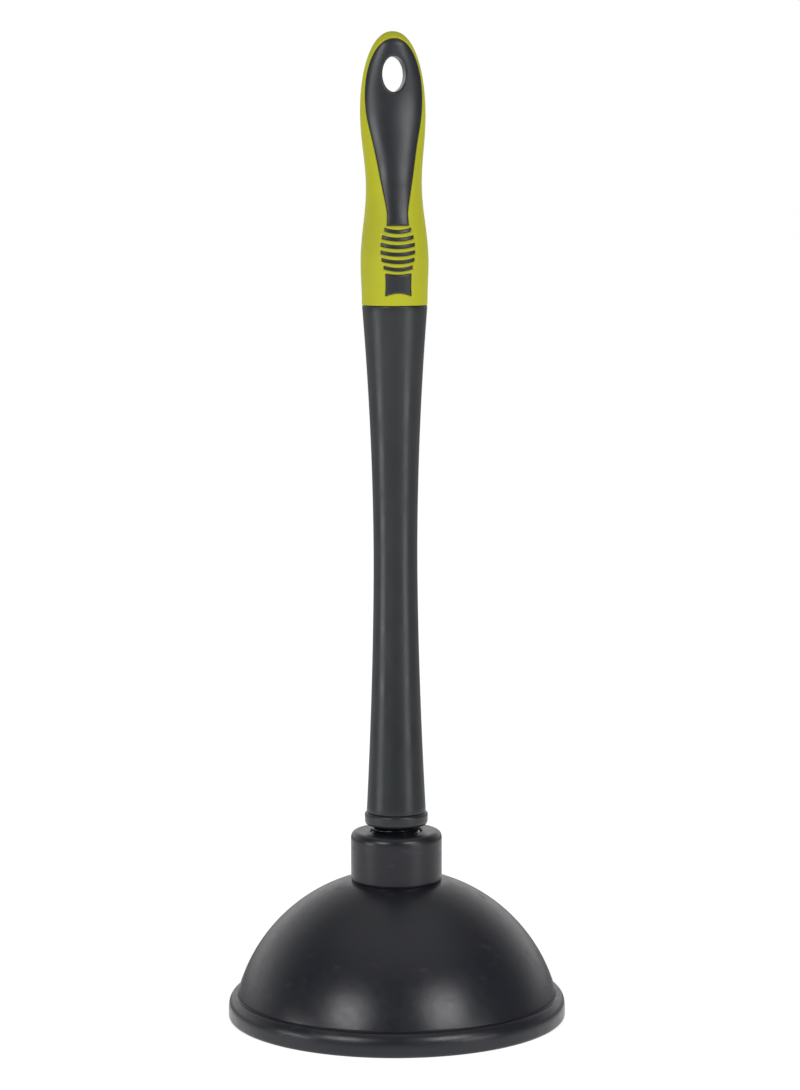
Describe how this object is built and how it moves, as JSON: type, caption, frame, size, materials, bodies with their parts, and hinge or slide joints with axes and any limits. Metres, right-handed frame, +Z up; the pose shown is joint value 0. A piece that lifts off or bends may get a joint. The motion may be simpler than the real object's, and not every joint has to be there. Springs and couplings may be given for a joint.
{
  "type": "sink plunger",
  "caption": "Short sink plunger: rubber bell cup with a thick rim band and a threaded socket, screwed to a waisted tubular handle with a soft overmoulded grip and a hanging eye.",
  "frame": {"origin": "centre of the cup rim's bottom plane, where the plunger stands", "axes": "+Z up along the handle, the front of the grip faces -Y, +X to the right of the grip's front"},
  "size_m": [0.15, 0.15, 0.4346],
  "materials": {
    "cup_rubber": "satin black moulded rubber",
    "shaft_plastic": "satin charcoal moulded polypropylene",
    "thread_plastic": "glossy black moulded plastic",
    "core_plastic": "semi-gloss charcoal moulded polypropylene",
    "soft_lime": "matte lime green thermoplastic rubber"
  },
  "bodies": {
    "cup": {"cup_rim": "cup_rubber", "cup_bell": "cup_rubber"},
    "socket": {"cup_socket": "cup_rubber"},
    "ferrule": {"ferrule": "shaft_plastic"},
    "handle": {"threaded_stem": "thread_plastic", "shaft_tube": "shaft_plastic", "grip_core": "core_plastic", "grip_skin": "soft_lime"}
  },
  "joints": [
    {"name": "plunge", "type": "slide", "parent": "cup", "child": "socket", "axis": [0, 0, 1], "range_m": [-0.035, 0], "stiffness_N_per_m": 1400, "springref_m": 0.003, "deforming": ["cup_bell"]},
    {"name": "handle_lift", "type": "slide", "parent": "socket", "child": "ferrule", "axis": [0, 0, 1], "range_m": [-0.0025, 0.0201]},
    {"name": "handle_turn", "type": "hinge", "parent": "ferrule", "child": "handle", "pos_m": [0, 0, 0.0863], "axis": [0, 0, 1], "range_deg": [-216, 1800]}
  ],
  "couplings": [
    {"joint": "handle_lift", "follows": "handle_turn", "m_per_rad": 0.00063662}
  ]
}
